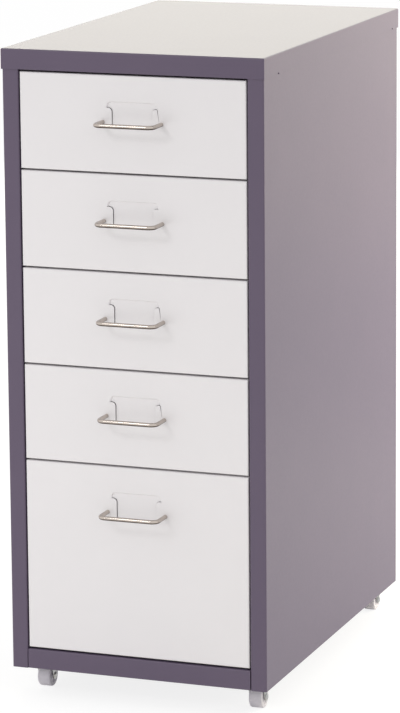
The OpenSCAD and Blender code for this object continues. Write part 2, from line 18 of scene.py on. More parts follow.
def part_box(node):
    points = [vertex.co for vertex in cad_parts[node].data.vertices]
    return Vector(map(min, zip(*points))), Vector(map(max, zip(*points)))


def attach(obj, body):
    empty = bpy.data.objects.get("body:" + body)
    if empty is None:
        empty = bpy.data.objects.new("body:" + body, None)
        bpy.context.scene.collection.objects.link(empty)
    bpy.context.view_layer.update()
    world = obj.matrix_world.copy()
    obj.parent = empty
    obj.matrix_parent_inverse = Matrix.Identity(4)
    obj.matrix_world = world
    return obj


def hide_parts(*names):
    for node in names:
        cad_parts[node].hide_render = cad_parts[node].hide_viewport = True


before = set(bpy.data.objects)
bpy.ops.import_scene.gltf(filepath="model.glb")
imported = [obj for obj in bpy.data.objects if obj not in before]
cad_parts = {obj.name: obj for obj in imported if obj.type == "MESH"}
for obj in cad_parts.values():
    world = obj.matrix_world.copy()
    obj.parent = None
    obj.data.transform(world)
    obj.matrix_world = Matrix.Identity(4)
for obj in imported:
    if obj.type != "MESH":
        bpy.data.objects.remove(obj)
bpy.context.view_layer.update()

MM = 0.001
CABINET = "cabinet"  # body that stands still
DRAWERS = 5
WHITE = "#ffffff"
WELD = 0.001 * MM  # points of a CAD mesh that are closer than this are one point
SEAM = 0.002 * MM  # the same for the two ends of a turned surface
FLAT = math.radians(0.4)  # neighbouring faces that turn by less than this are one face
CREASE = math.radians(38)  # an edge that turns by more than this stays sharp to the eye
PRESSED_EDGE = 0.22 * MM  # edge of a thick pressing that was tumbled before plating
PLACE_DIGITS = 5  # places are put in order by the hundredth of a millimetre
log = logging.getLogger("drawer_cabinet")

Box = tuple[Vector, Vector]
Colour = tuple[float, float, float, float]
Place = tuple[float, float, float]
Corner = tuple[float, float, float]  # of a section: distance from the axis, height and rounding


# ---- Nodes, meshes and places ----

def linear(hex_colour: str) -> Colour:
    """Turn an sRGB hex colour into linear RGBA, by the curve of the sRGB standard.

    Args:
        hex_colour: Colour as "#rrggbb".

    Returns:
        Linear red, green, blue and an alpha of one.
    """
    coded = [int(hex_colour[i:i + 2], 16) / 255 for i in (1, 3, 5)]
    red, green, blue = (c / 12.92 if c <= 0.04045 else ((c + 0.055) / 1.055) ** 2.4 for c in coded)
    return red, green, blue, 1.0


def add(tree: bpy.types.NodeTree, kind: str, feeds: dict[str | int, Any] | None = None,
        **settings: Any) -> bpy.types.Node:
    """Add a node with its settings and links.

    Args:
        tree: Tree that takes the node.
        kind: Blender's class name of the node.
        feeds: What goes into each input, by the input's name or number. It is a value, an output,
            a node whose first output in use is meant, or a list of these.
        settings: Properties of the node.

    Returns:
        The new node.
    """
    node = tree.nodes.new(kind)
    for key, value in settings.items():
        setattr(node, key, value)
    for key, value in (feeds or {}).items():
        named = [entry for entry in node.inputs if entry.enabled and entry.name == key]
        entry = named[0] if named else node.inputs[key]
        for source in value if isinstance(value, list) else [value]:
            if isinstance(source, bpy.types.Node):
                source = next(output for output in source.outputs if output.enabled)
            if isinstance(source, bpy.types.NodeSocket):
                tree.links.new(source, entry)
            else:
                entry.default_value = source
    return node


def new_object(name: str, mesh: bpy.types.Mesh) -> bpy.types.Object:
    """Put a mesh into the scene as an object at the origin.

    Args:
        name: Name of the object.
        mesh: Mesh that it shows.

    Returns:
        The new object.
    """
    piece = bpy.data.objects.new(name, mesh)
    bpy.context.scene.collection.objects.link(piece)
    return piece


def keep_result(piece: bpy.types.Object) -> None:
    """Replace a piece's mesh by what its modifiers make of it, and remove them.

    Args:
        piece: Piece with modifiers.
    """
    state = bpy.context.evaluated_depsgraph_get()
    result = bpy.data.meshes.new_from_object(piece.evaluated_get(state), depsgraph=state)
    start = piece.data
    result.name = piece.name
    piece.modifiers.clear()
    piece.data = result
    bpy.data.meshes.remove(start)


def shade(mesh: bpy.types.Mesh) -> None:
    """Shade a mesh smooth, apart from its creases."""
    mesh.shade_smooth()
    mesh.set_sharp_from_angle(angle=CREASE)


def merged(node: str) -> bmesh.types.BMesh:
    """Copy a CAD node's mesh with its loose triangles merged.

    Args:
        node: Name of the CAD node.

    Returns:
        The mesh, for the caller to free.
    """
    solid = bmesh.new()
    solid.from_mesh(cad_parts[node].data)
    bmesh.ops.remove_doubles(solid, verts=solid.verts, dist=WELD)
    return solid


def solids(node: str) -> list[Box]:
    """Find the separate solids in a CAD node.

    Args:
        node: Name of the CAD node.

    Returns:
        Lowest and highest corner of each solid, in the order of the lowest corners.
    """
    mesh = merged(node)
    left = set(mesh.verts)
    found = []
    while left:
        reached = [left.pop()]
        for vert in reached:
            for edge in vert.link_edges:
                other = edge.other_vert(vert)
                if other in left:
                    left.remove(other)
                    reached.append(other)
        low = Vector([min(v.co[i] for v in reached) for i in range(3)])
        high = Vector([max(v.co[i] for v in reached) for i in range(3)])
        found.append((low, high))
    mesh.free()
    return sorted(found, key=lambda box: tuple(round(c, PLACE_DIGITS) for c in box[0]))


class Slot(Enum):
    """Names of material slots."""

    BODY = "body_paint"
    DRAWER = "drawer_paint"
    ZINC = "zinc"
    NICKEL = "nickel_wire"
    WHEEL = "wheel_plastic"


def fit(piece: bpy.types.Object, body: str, node: str) -> None:
    """Let a finished piece ride on its body in place of a CAD node, and report it.

    Args:
        piece: The finished piece.
        body: Body that carries it.
        node: CAD node that it stands for.
    """
    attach(piece, body)
    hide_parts(node)
    log.info("%s: %d faces, rides on %s", piece.name, len(piece.data.polygons), body)


# ---- Finishes ----

@dataclass(frozen=True)
class Finish(ABC):
    """A finish that goes from one colour to a close one, and whose gloss varies a little."""

    name: str
    colour: str
    cloud_colour: str
    roughness: float
    gloss_spread: float

    @abstractmethod
    def surface(self, tree: bpy.types.NodeTree) -> dict[str, Any]:
        """Build the patterns of the surface.

        Args:
            tree: Tree that takes the nodes.

        Returns:
            What feeds the shader, by the name of its input.
        """

    def tint_and_gloss(self, tree: bpy.types.NodeTree, clouds: bpy.types.Node,
                       grain: bpy.types.Node) -> dict[str, Any]:
        """Turn two patterns into colour and roughness.

        Args:
            tree: Tree that takes the nodes.
            clouds: Pattern that leads from one colour to the other.
            grain: Pattern that leads from glossier to duller.

        Returns:
            What feeds the shader's colour and roughness.
        """
        tint = add(tree, "ShaderNodeMix", {
            "Factor": clouds, "A": linear(self.colour), "B": linear(self.cloud_colour)},
            data_type="RGBA")
        gloss = add(tree, "ShaderNodeMapRange", {
            "Value": grain, "To Min": self.roughness - self.gloss_spread,
            "To Max": self.roughness + self.gloss_spread})
        return {"Base Color": tint, "Roughness": gloss}

    def material(self) -> bpy.types.Material:
        """Build the material.

        Returns:
            The new material.
        """
        made = bpy.data.materials.new(self.name)
        made.use_nodes = True
        tree = made.node_tree
        tree.nodes.clear()
        shader = add(tree, "ShaderNodeBsdfPrincipled", self.surface(tree))
        add(tree, "ShaderNodeOutputMaterial", {"Surface": shader})
        return made


@dataclass(frozen=True)
class PowderCoat(Finish):
    """Polyester powder, sprayed on steel and baked to a semi-gloss film.

    The film flows out to a fine orange peel, so a reflection on it is soft and a little uneven, and
    the sheet under it is never quite flat, which bends that reflection slowly across a panel.
    """

    roughness: float = 0.36
    gloss_spread: float = 0.03
    ior: float = 1.5
    peel_size: float = 3.0 * MM  # a real one is about 1 mm, drawn coarser so that it shows
    peel_detail: float = 2.0
    peel_depth: float = 0.006 * MM
    wave_size: float = 140 * MM
    wave_detail: float = 0.0
    wave_depth: float = 0.12 * MM
    cloud_size: float = 60 * MM
    cloud_detail: float = 3.0

    def surface(self, tree: bpy.types.NodeTree) -> dict[str, Any]:
        """Build the clouds, the orange peel and the slow waves of the sheet.

        Args:
            tree: Tree that takes the nodes.

        Returns:
            What feeds the shader, by the name of its input.
        """
        place = add(tree, "ShaderNodeTexCoord").outputs["Object"]
        clouds, peel, waves = (
            add(tree, "ShaderNodeTexNoise", {"Vector": place, "Scale": 1 / size, "Detail": detail})
            for size, detail in (
                (self.cloud_size, self.cloud_detail), (self.peel_size, self.peel_detail),
                (self.wave_size, self.wave_detail)))
        slow = add(tree, "ShaderNodeBump", {"Height": waves, "Distance": self.wave_depth})
        fine = add(tree, "ShaderNodeBump", {
            "Height": peel, "Distance": self.peel_depth, "Normal": slow})
        return {**self.tint_and_gloss(tree, clouds, peel), "Normal": fine, "IOR": self.ior}


@dataclass(frozen=True)
class ZincPlate(Finish):
    """Bright zinc plate on pressed steel, passivated.

    It is a cool grey metal with a soft shine, and the passivation leaves faint bluish and yellowish
    clouds on it.
    """

    name: str = "bright_zinc_plated_steel"
    colour: str = "#adb0b5"
    cloud_colour: str = "#b5b2a9"
    roughness: float = 0.3
    gloss_spread: float = 0.08
    cloud_size: float = 7 * MM
    cloud_detail: float = 4.0
    grain_size: float = 0.8 * MM  # a real one is about 0.1 mm, drawn coarser so that it shows
    grain_detail: float = 3.0
    grain_depth: float = 0.004 * MM

    def surface(self, tree: bpy.types.NodeTree) -> dict[str, Any]:
        """Build the clouds of the passivation and the grain of the plate.

        Args:
            tree: Tree that takes the nodes.

        Returns:
            What feeds the shader, by the name of its input.
        """
        place = add(tree, "ShaderNodeTexCoord").outputs["Object"]
        clouds, grain = (
            add(tree, "ShaderNodeTexNoise", {"Vector": place, "Scale": 1 / size, "Detail": detail})
            for size, detail in (
                (self.cloud_size, self.cloud_detail), (self.grain_size, self.grain_detail)))
        bump = add(tree, "ShaderNodeBump", {"Height": grain, "Distance": self.grain_depth})
        return {**self.tint_and_gloss(tree, clouds, grain), "Normal": bump, "Metallic": 1.0}


@dataclass(frozen=True)
class NickelWire(Finish):
    """Drawn steel wire, polished and nickel plated.

    Nickel is a warm white metal, nearly a mirror, and the drawing leaves hair-fine lines along the
    wire that stretch a highlight round it. A dark brown reflection is painted along its underside,
    and a fainter one along its top, in place of the dark surroundings that the wire would mirror
    there. Both are told by how far the surface faces up, from -1 straight down to 1 straight up.
    """

    name: str = "polished_nickel_plated_wire"
    colour: str = "#cbc2ba"
    cloud_colour: str = "#bdb2a9"
    # colour of the painted dark reflection along the underside and, fainter, along the top
    painted_reflection_colour: str = "#3d2e26"
    under: tuple[float, float] = (0.0, -0.5)
    under_share: float = 1.0
    top: tuple[float, float] = (0.75, 1.0)
    top_share: float = 0.45
    roughness: float = 0.12
    gloss_spread: float = 0.05
    line_width: float = 0.25 * MM  # a real one is about 0.05 mm, drawn coarser so that it shows
    line_length: float = 12 * MM
    line_detail: float = 3.0
    line_depth: float = 0.001 * MM

    def surface(self, tree: bpy.types.NodeTree) -> dict[str, Any]:
        """Build the drawn lines and the painted dark reflections, which read the wire's own attributes.

        Args:
            tree: Tree that takes the nodes.

        Returns:
            What feeds the shader, by the name of its input.
        """
        drawn = add(tree, "ShaderNodeAttribute", attribute_name="drawn").outputs["Vector"]
        across = 1 / self.line_width
        spread = add(tree, "ShaderNodeMapping", {
            "Vector": drawn, "Scale": (across, across, 1 / self.line_length)})
        lines = add(tree, "ShaderNodeTexNoise", {
            "Vector": spread, "Scale": 1.0, "Detail": self.line_detail})
        bright = self.tint_and_gloss(tree, lines, lines)
        upward = add(tree, "ShaderNodeAttribute", attribute_name="upward").outputs["Fac"]
        # Painted dark reflection: darker towards the underside, and a little on the top, by how far the
        # surface faces up.
        under, top = (
            add(tree, "ShaderNodeMapRange", {
                "Value": upward, "From Min": start, "From Max": end, "To Max": share})
            for (start, end), share in ((self.under, self.under_share), (self.top, self.top_share)))
        painted_reflection_mask = add(tree, "ShaderNodeMath", {0: under, 1: top}, operation="MAXIMUM")
        # The painted dark reflection is mixed into the wire's colour here.
        with_painted_reflection = add(tree, "ShaderNodeMix", {
            "Factor": painted_reflection_mask, "A": bright["Base Color"], "B": linear(self.painted_reflection_colour)},
            data_type="RGBA")
        bump = add(tree, "ShaderNodeBump", {"Height": lines, "Distance": self.line_depth})
        return {**bright, "Base Color": with_painted_reflection, "Normal": bump, "Metallic": 1.0}


@dataclass(frozen=True)
class MouldedNylon(Finish):
    """Polyamide, injection moulded in a fine spark-eroded mould.

    It is a pale grey that lets a little light in at its edges, with a satin sheen that the mould's
    grain breaks up.
    """

    name: str = "moulded_grey_nylon"
    colour: str = "#e0dce4"
    cloud_colour: str = "#d2ced7"
    roughness: float = 0.42
    gloss_spread: float = 0.06
    ior: float = 1.53
    grain_size: float = 0.9 * MM  # a real one is about 0.2 mm, drawn coarser so that it shows
    grain_detail: float = 2.0
    grain_depth: float = 0.02 * MM
    cloud_size: float = 9 * MM
    cloud_detail: float = 3.0
    light_share: float = 0.15
    light_depth: float = 0.8 * MM
    light_reach: tuple[float, float, float] = (1.0, 1.0, 1.0)  # red, green and blue, of that depth

    def surface(self, tree: bpy.types.NodeTree) -> dict[str, Any]:
        """Build the clouds of the plastic and the grain of its mould.

        Args:
            tree: Tree that takes the nodes.

        Returns:
            What feeds the shader, by the name of its input.
        """
        place = add(tree, "ShaderNodeTexCoord").outputs["Object"]
        clouds, grain = (
            add(tree, "ShaderNodeTexNoise", {"Vector": place, "Scale": 1 / size, "Detail": detail})
            for size, detail in (
                (self.cloud_size, self.cloud_detail), (self.grain_size, self.grain_detail)))
        bump = add(tree, "ShaderNodeBump", {"Height": grain, "Distance": self.grain_depth})
        return {**self.tint_and_gloss(tree, clouds, grain), "Normal": bump, "IOR": self.ior,
                "Subsurface Weight": self.light_share, "Subsurface Radius": self.light_reach,
                "Subsurface Scale": self.light_depth}


# ---- Geometry Nodes ----

CORNER_STEPS = 5  # steps in the rounding of a turned corner
BEND_STEPS = 14  # steps in a bend of the wire
WIRE_SIDES = 28
THREAD_SIDES = 20
RINGS_PER_TURN = 6  # rings of points along one turn of a thread
DRILL_SIDES = 32


class Plan:
    """A Geometry Nodes tree with named inputs, which grows a piece on an object's own points."""

    def __init__(self, name: str, **sockets: str) -> None:
        """Start the tree.

        Args:
            name: Name of the tree.
            sockets: Type of each named input after the geometry.
        """
        self.tree = bpy.data.node_groups.new(name, "GeometryNodeTree")
        face = self.tree.interface
        face.new_socket("Geometry", in_out="INPUT", socket_type="NodeSocketGeometry")
        for label, kind in sockets.items():
            face.new_socket(label, in_out="INPUT", socket_type="NodeSocket" + kind)
        face.new_socket("Geometry", in_out="OUTPUT", socket_type="NodeSocketGeometry")
        self.given = add(self.tree, "NodeGroupInput").outputs

    def close(self, geometry: bpy.types.Node, dressed: bool = True) -> None:
        """Lead a geometry out of the tree.

        Args:
            geometry: Node that gives the finished geometry.
            dressed: Whether the instances become real and take the tree's material.
        """
        if dressed:
            real = add(self.tree, "GeometryNodeRealizeInstances", {"Geometry": geometry})
            geometry = add(self.tree, "GeometryNodeSetMaterial", {
                "Geometry": real, "Material": self.given["material"]})
        add(self.tree, "NodeGroupOutput", {"Geometry": geometry})

    def grow(self, name: str, start: bpy.types.Mesh, **values: Any) -> bpy.types.Object:
        """Grow a piece and keep the result as a plain mesh.

        Args:
            name: Name of the piece.
            start: Mesh that the tree takes as its geometry.
            values: Value of each named input.

        Returns:
            The piece, with no modifier left on it.
        """
        piece = new_object(name, start)
        grower = piece.modifiers.new("grow", "NODES")
        grower.node_group = self.tree
        for socket in self.tree.interface.items_tree:
            if socket.in_out == "INPUT" and socket.name in values:
                grower[socket.identifier] = values[socket.name]
        keep_result(piece)
        shade(piece.data)
        return piece


def bare_points(points: list[Vector], joined: bool = False) -> bpy.types.Mesh:
    """Make a mesh of bare points.

    Args:
        points: Place of each point.
        joined: Whether the points are joined in a row.

    Returns:
        The new mesh.
    """
    mesh = bpy.data.meshes.new("points")
    mesh.from_pydata(points, [(i, i + 1) for i in range(len(points) - 1)] if joined else [], [])
    return mesh


def section(*corners: Corner) -> bpy.types.Mesh:
    """Make the section of a turned piece, for a lathe plan.

    Args:
        corners: Corners of the section, from the top downwards.

    Returns:
        The section, as joined points that carry their rounding.
    """
    mesh = bare_points([Vector((r, 0, z)) for r, z, _ in corners], joined=True)
    rounding = mesh.attributes.new("round", "FLOAT", "POINT")
    rounding.data.foreach_set("value", [corner[2] for corner in corners])
    return mesh


def lower_half(upper: list[Corner]) -> list[Corner]:
    """Mirror the upper half of a section.

    Args:
        upper: Corners of the upper half, from the top downwards.

    Returns:
        Corners of the lower half, from the middle downwards.
    """
    return [(reach, -height, rounding) for reach, height, rounding in reversed(upper)]


def lathe_plan() -> Plan:
    """Plan a piece turned about Z from a section.

    Returns:
        A plan that rounds the section's corners and carries it round the axis.
    """
    plan = Plan("lathe", around="Int")
    tree, given = plan.tree, plan.given
    path = add(tree, "GeometryNodeMeshToCurve", {"Mesh": given["Geometry"]})
    rounding = add(tree, "GeometryNodeInputNamedAttribute", {"Name": "round"}, data_type="FLOAT")
    eased = add(tree, "GeometryNodeFilletCurve", {
        "Curve": path, "Count": CORNER_STEPS, "Radius": rounding}, mode="POLY")
    points = add(tree, "GeometryNodeCurveToPoints", {"Curve": eased}, mode="EVALUATED")
    count = add(tree, "GeometryNodeAttributeDomainSize", {"Geometry": points}, component="POINTCLOUD")
    rows = add(tree, "ShaderNodeMath", {0: given["around"], 1: 1.0}, operation="ADD")
    grid = add(tree, "GeometryNodeMeshGrid", {"Vertices X": count, "Vertices Y": rows})
    index = add(tree, "GeometryNodeInputIndex")
    # Half a point more keeps the division clear of a whole number, which rounding could miss.
    safe_index = add(tree, "ShaderNodeMath", {0: index, 1: 0.5}, operation="ADD")
    whole_rows = add(tree, "ShaderNodeMath", {0: safe_index, 1: rows}, operation="DIVIDE")
    column = add(tree, "ShaderNodeMath", {0: whole_rows}, operation="FLOOR")
    before = add(tree, "ShaderNodeMath", {0: column, 1: rows}, operation="MULTIPLY")
    row = add(tree, "ShaderNodeMath", {0: index, 1: before}, operation="SUBTRACT")
    taken = add(tree, "GeometryNodeSampleIndex", {
        "Geometry": points, "Value": add(tree, "GeometryNodeInputPosition"), "Index": column},
        data_type="FLOAT_VECTOR")
    reach, _, height = add(tree, "ShaderNodeSeparateXYZ", {"Vector": taken}).outputs
    turn = add(tree, "ShaderNodeMath", {0: row, 1: given["around"]}, operation="DIVIDE")
    angle = add(tree, "ShaderNodeMath", {0: turn, 1: math.tau}, operation="MULTIPLY")
    cosine = add(tree, "ShaderNodeMath", {0: angle}, operation="COSINE")
    sine = add(tree, "ShaderNodeMath", {0: angle}, operation="SINE")
    x = add(tree, "ShaderNodeMath", {0: reach, 1: cosine}, operation="MULTIPLY")
    y = add(tree, "ShaderNodeMath", {0: reach, 1: sine}, operation="MULTIPLY")
    moved = add(tree, "ShaderNodeCombineXYZ", {"X": x, "Y": y, "Z": height})
    turned = add(tree, "GeometryNodeSetPosition", {"Geometry": grid, "Position": moved})
    closed = add(tree, "GeometryNodeMergeByDistance", {"Geometry": turned, "Distance": SEAM})
    plan.close(closed, dressed=False)
    return plan


def turned_plan(lathe: Plan) -> Plan:
    """Plan one turned piece in its place.

    Args:
        lathe: Plan of the turning.

    Returns:
        A plan that turns the section and sets it on its centre and axis.
    """
    plan = Plan("turned_piece", around="Int", centre="Vector", aim="Vector", material="Material")
    tree, given = plan.tree, plan.given
    turned = add(tree, "GeometryNodeGroup", {
        "Geometry": given["Geometry"], "around": given["around"]}, node_tree=lathe.tree)
    plan.close(add(tree, "GeometryNodeTransform", {
        "Geometry": turned, "Translation": given["centre"], "Rotation": given["aim"]}))
    return plan


def thread_plan() -> Plan:
    """Plan a threaded rod that stands on the origin.

    Returns:
        A plan whose rod has a helical ridge along it.
    """
    plan = Plan("threaded_rod", diameter="Float", length="Float", pitch="Float", depth="Float")
    tree, given = plan.tree, plan.given
    radius = add(tree, "ShaderNodeMath", {0: given["diameter"], 1: 0.5}, operation="MULTIPLY")
    turns = add(tree, "ShaderNodeMath", {0: given["length"], 1: given["pitch"]}, operation="DIVIDE")
    steps = add(tree, "ShaderNodeMath", {0: turns, 1: RINGS_PER_TURN}, operation="MULTIPLY")
    rings = add(tree, "ShaderNodeMath", {0: steps}, operation="CEIL")
    rod = add(tree, "GeometryNodeMeshCylinder", {
        "Vertices": THREAD_SIDES, "Side Segments": rings, "Radius": radius, "Depth": given["length"]},
        fill_type="TRIANGLE_FAN")
    half = add(tree, "ShaderNodeMath", {0: given["length"], 1: 0.5}, operation="MULTIPLY")
    raised = add(tree, "GeometryNodeTransform", {
        "Geometry": rod, "Translation": add(tree, "ShaderNodeCombineXYZ", {"Z": half})})
    place = add(tree, "GeometryNodeInputPosition")
    x, y, z = add(tree, "ShaderNodeSeparateXYZ", {"Vector": place}).outputs
    angle = add(tree, "ShaderNodeMath", {0: y, 1: x}, operation="ARCTAN2")
    turn = add(tree, "ShaderNodeMath", {0: angle, 1: math.tau}, operation="DIVIDE")
    along = add(tree, "ShaderNodeMath", {0: z, 1: given["pitch"]}, operation="DIVIDE")
    phase = add(tree, "ShaderNodeMath", {0: along, 1: turn}, operation="SUBTRACT")
    valley = add(tree, "ShaderNodeMath", {0: phase, 1: 0.5}, operation="PINGPONG")
    slope = add(tree, "ShaderNodeMath", {0: given["depth"], 1: 2.0}, operation="MULTIPLY")
    sunk = add(tree, "ShaderNodeMath", {0: valley, 1: slope}, operation="MULTIPLY")
    # A point keeps this share of its distance from the axis, and all of its height.
    lost = add(tree, "ShaderNodeMath", {0: sunk, 1: radius}, operation="DIVIDE")
    kept = add(tree, "ShaderNodeMath", {0: 1.0, 1: lost}, operation="SUBTRACT")
    scale = add(tree, "ShaderNodeCombineXYZ", {"X": kept, "Y": kept, "Z": 1.0})
    moved = add(tree, "ShaderNodeVectorMath", {0: place, 1: scale}, operation="MULTIPLY")
    cut = add(tree, "GeometryNodeSetPosition", {"Geometry": raised, "Position": moved})
    plan.close(cut, dressed=False)
    return plan


def handle_plan(thread: Plan) -> Plan:
    """Plan a wire handle that follows the object's own path, with a threaded rod at each end.

    Args:
        thread: Plan of the threaded rod.

    Returns:
        A plan whose wire carries two attributes for its material: "drawn", a place in the straight
        wire, and "upward", how far the surface faces up, which places the painted dark reflections.
    """
    plan = Plan("bent_wire_handle", wire="Float", bend="Float", tail="Float", tail_length="Float",
                pitch="Float", depth="Float", material="Material")
    tree, given = plan.tree, plan.given
    path = add(tree, "GeometryNodeMeshToCurve", {"Mesh": given["Geometry"]})
    bent = add(tree, "GeometryNodeFilletCurve", {
        "Curve": path, "Count": BEND_STEPS, "Radius": given["bend"]}, mode="POLY")
    length = add(tree, "GeometryNodeSplineParameter").outputs["Length"]
    measured = add(tree, "GeometryNodeStoreNamedAttribute", {
        "Geometry": bent, "Name": "along", "Value": length}, domain="POINT", data_type="FLOAT")
    radius = add(tree, "ShaderNodeMath", {0: given["wire"], 1: 0.5}, operation="MULTIPLY")
    ring = add(tree, "GeometryNodeCurvePrimitiveCircle", {"Resolution": WIRE_SIDES, "Radius": radius})
    marked_ring = add(tree, "GeometryNodeStoreNamedAttribute", {
        "Geometry": ring, "Name": "around", "Value": add(tree, "GeometryNodeInputPosition")},
        domain="POINT", data_type="FLOAT_VECTOR")
    swept = add(tree, "GeometryNodeCurveToMesh", {
        "Curve": measured, "Profile Curve": marked_ring, "Fill Caps": True})
    along = add(tree, "GeometryNodeInputNamedAttribute", {"Name": "along"}, data_type="FLOAT")
    around = add(tree, "GeometryNodeInputNamedAttribute", {"Name": "around"}, data_type="FLOAT_VECTOR")
    shift = add(tree, "ShaderNodeCombineXYZ", {"Z": along})
    drawn = add(tree, "ShaderNodeVectorMath", {0: around, 1: shift}, operation="ADD")
    marked = add(tree, "GeometryNodeStoreNamedAttribute", {
        "Geometry": swept, "Name": "drawn", "Value": drawn}, domain="POINT", data_type="FLOAT_VECTOR")
    facing = add(tree, "ShaderNodeSeparateXYZ", {"Vector": add(tree, "GeometryNodeInputNormal")})
    faced = add(tree, "GeometryNodeStoreNamedAttribute", {
        "Geometry": marked, "Name": "upward", "Value": facing.outputs["Z"]},
        domain="POINT", data_type="FLOAT")
    rod = add(tree, "GeometryNodeGroup", {
        "diameter": given["tail"], "length": given["tail_length"], "pitch": given["pitch"],
        "depth": given["depth"]}, node_tree=thread.tree)
    ends = add(tree, "GeometryNodeCurveEndpointSelection", {"Start Size": 1, "End Size": 1})
    rods = add(tree, "GeometryNodeInstanceOnPoints", {
        "Points": path, "Selection": ends, "Instance": rod, "Rotation": (-math.pi / 2, 0.0, 0.0)})
    plan.close(add(tree, "GeometryNodeJoinGeometry", {"Geometry": [faced, rods]}))
    return plan


def screw_plan(lathe: Plan, thread: Plan) -> Plan:
    """Plan a cross-recess screw whose seat is on the origin, with its head up.

    Args:
        lathe: Plan of the turning.
        thread: Plan of the threaded rod.

    Returns:
        A plan that turns the head from its section, cuts the recess and hangs the shank under it.
    """
    plan = Plan("cross_recess_screw", around="Int", head="Float", recess="Float", slot="Float",
                recess_depth="Float", shank="Float", length="Float", pitch="Float", depth="Float",
                material="Material")
    tree, given = plan.tree, plan.given
    head = add(tree, "GeometryNodeGroup", {
        "Geometry": given["Geometry"], "around": given["around"]}, node_tree=lathe.tree)
    twice = add(tree, "ShaderNodeMath", {0: given["recess_depth"], 1: 2.0}, operation="MULTIPLY")
    size = add(tree, "ShaderNodeCombineXYZ", {"X": given["recess"], "Y": given["slot"], "Z": twice})
    top = add(tree, "ShaderNodeCombineXYZ", {"Z": given["head"]})
    # Two crossed bars cut the recess, each centred on the top of the head.
    for turn in (0.0, math.pi / 2):
        bar = add(tree, "GeometryNodeMeshCube", {"Size": size})
        wing = add(tree, "GeometryNodeTransform", {
            "Geometry": bar, "Translation": top, "Rotation": (0.0, 0.0, turn)})
        head = add(tree, "GeometryNodeMeshBoolean", {
            "Mesh 1": head, "Mesh 2": wing}, operation="DIFFERENCE", solver="EXACT")
    rod = add(tree, "GeometryNodeGroup", {
        "diameter": given["shank"], "length": given["length"], "pitch": given["pitch"],
        "depth": given["depth"]}, node_tree=thread.tree)
    hung = add(tree, "GeometryNodeTransform", {"Geometry": rod, "Rotation": (math.pi, 0.0, 0.0)})
    plan.close(add(tree, "GeometryNodeJoinGeometry", {"Geometry": [head, hung]}))
    return plan


def nut_plan(lathe: Plan) -> Plan:
    """Plan a chamfered hexagon nut that stands on the origin.

    Args:
        lathe: Plan of the turning.

    Returns:
        A plan that cuts a hexagon from the turned blank and bores it.
    """
    plan = Plan("hexagon_nut", around="Int", flats="Float", height="Float", bore="Float",
                material="Material")
    tree, given = plan.tree, plan.given
    blank = add(tree, "GeometryNodeGroup", {
        "Geometry": given["Geometry"], "around": given["around"]}, node_tree=lathe.tree)
    corner = add(tree, "ShaderNodeMath", {
        0: given["flats"], 1: 2 * math.cos(math.pi / 6)}, operation="DIVIDE")
    # The cutters reach well past both faces.
    beyond = add(tree, "ShaderNodeMath", {0: given["height"], 1: 4.0}, operation="MULTIPLY")
    prism = add(tree, "GeometryNodeMeshCylinder", {"Vertices": 6, "Radius": corner, "Depth": beyond})
    radius = add(tree, "ShaderNodeMath", {0: given["bore"], 1: 0.5}, operation="MULTIPLY")
    drill = add(tree, "GeometryNodeMeshCylinder", {
        "Vertices": DRILL_SIDES, "Radius": radius, "Depth": beyond})
    hexagon = add(tree, "GeometryNodeMeshBoolean", {
        "Mesh 2": [blank, prism]}, operation="INTERSECT", solver="EXACT")
    plan.close(add(tree, "GeometryNodeMeshBoolean", {
        "Mesh 1": hexagon, "Mesh 2": drill}, operation="DIFFERENCE", solver="EXACT"))
    return plan


def fastening_plan() -> Plan:
    """Plan a set of like fasteners on the object's own points.

    Returns:
        A plan that sets the model fastener on each point, aims it and turns it at random.
    """
    plan = Plan("fasteners", model="Object", aim="Vector", most_turn="Float", seed="Int",
                material="Material")
    tree, given = plan.tree, plan.given
    model = add(tree, "GeometryNodeObjectInfo", {"Object": given["model"], "As Instance": True})
    fasteners = add(tree, "GeometryNodeInstanceOnPoints", {
        "Points": given["Geometry"], "Instance": model.outputs["Geometry"], "Rotation": given["aim"]})
    chance = add(tree, "FunctionNodeRandomValue", {
        "Max": given["most_turn"], "Seed": given["seed"]}, data_type="FLOAT")
    plan.close(add(tree, "GeometryNodeRotateInstances", {
        "Instances": fasteners, "Rotation": add(tree, "ShaderNodeCombineXYZ", {"Z": chance}),
        "Local Space": True}))
    return plan


# ---- Sub-assemblies ----

class Aim(Enum):
    """Ways in which the axis of a turned piece or a fastener points, as turns from straight up."""

    DOWN = (math.pi, 0.0, 0.0)
    TO_REAR = (-math.pi / 2, 0.0, 0.0)
    TO_RIGHT = (0.0, math.pi / 2, 0.0)


@dataclass
class Sheets:
    """Folded and punched sheets, dressed in copies of their CAD meshes with every edge broken."""

    coat: bpy.types.Material
    slot: Slot
    edge: float = 0.15 * MM
    edge_angle: float = math.radians(50)
    edge_steps: int = 2

    def dress(self, node: str, body: str) -> None:
        """Dress one sheet.

        Args:
            node: Name of the CAD node.
            body: Body that carries it.
        """
        solid = merged(node)
        bmesh.ops.dissolve_limit(solid, angle_limit=FLAT, verts=solid.verts, edges=solid.edges)
        mesh = bpy.data.meshes.new(node + "_sheet")
        solid.to_mesh(mesh)
        solid.free()
        shade(mesh)
        mesh.materials.append(self.coat)
        piece = new_object(node + "_sheet", mesh)
        broken = piece.modifiers.new("broken_edges", "BEVEL")
        broken.limit_method = "ANGLE"
        broken.angle_limit = self.edge_angle
        broken.width = self.edge
        broken.segments = self.edge_steps
        broken.use_clamp_overlap = False
        flat = piece.modifiers.new("flat_faces", "WEIGHTED_NORMAL")
        flat.keep_sharp = True
        keep_result(piece)
        fit(piece, body, node)


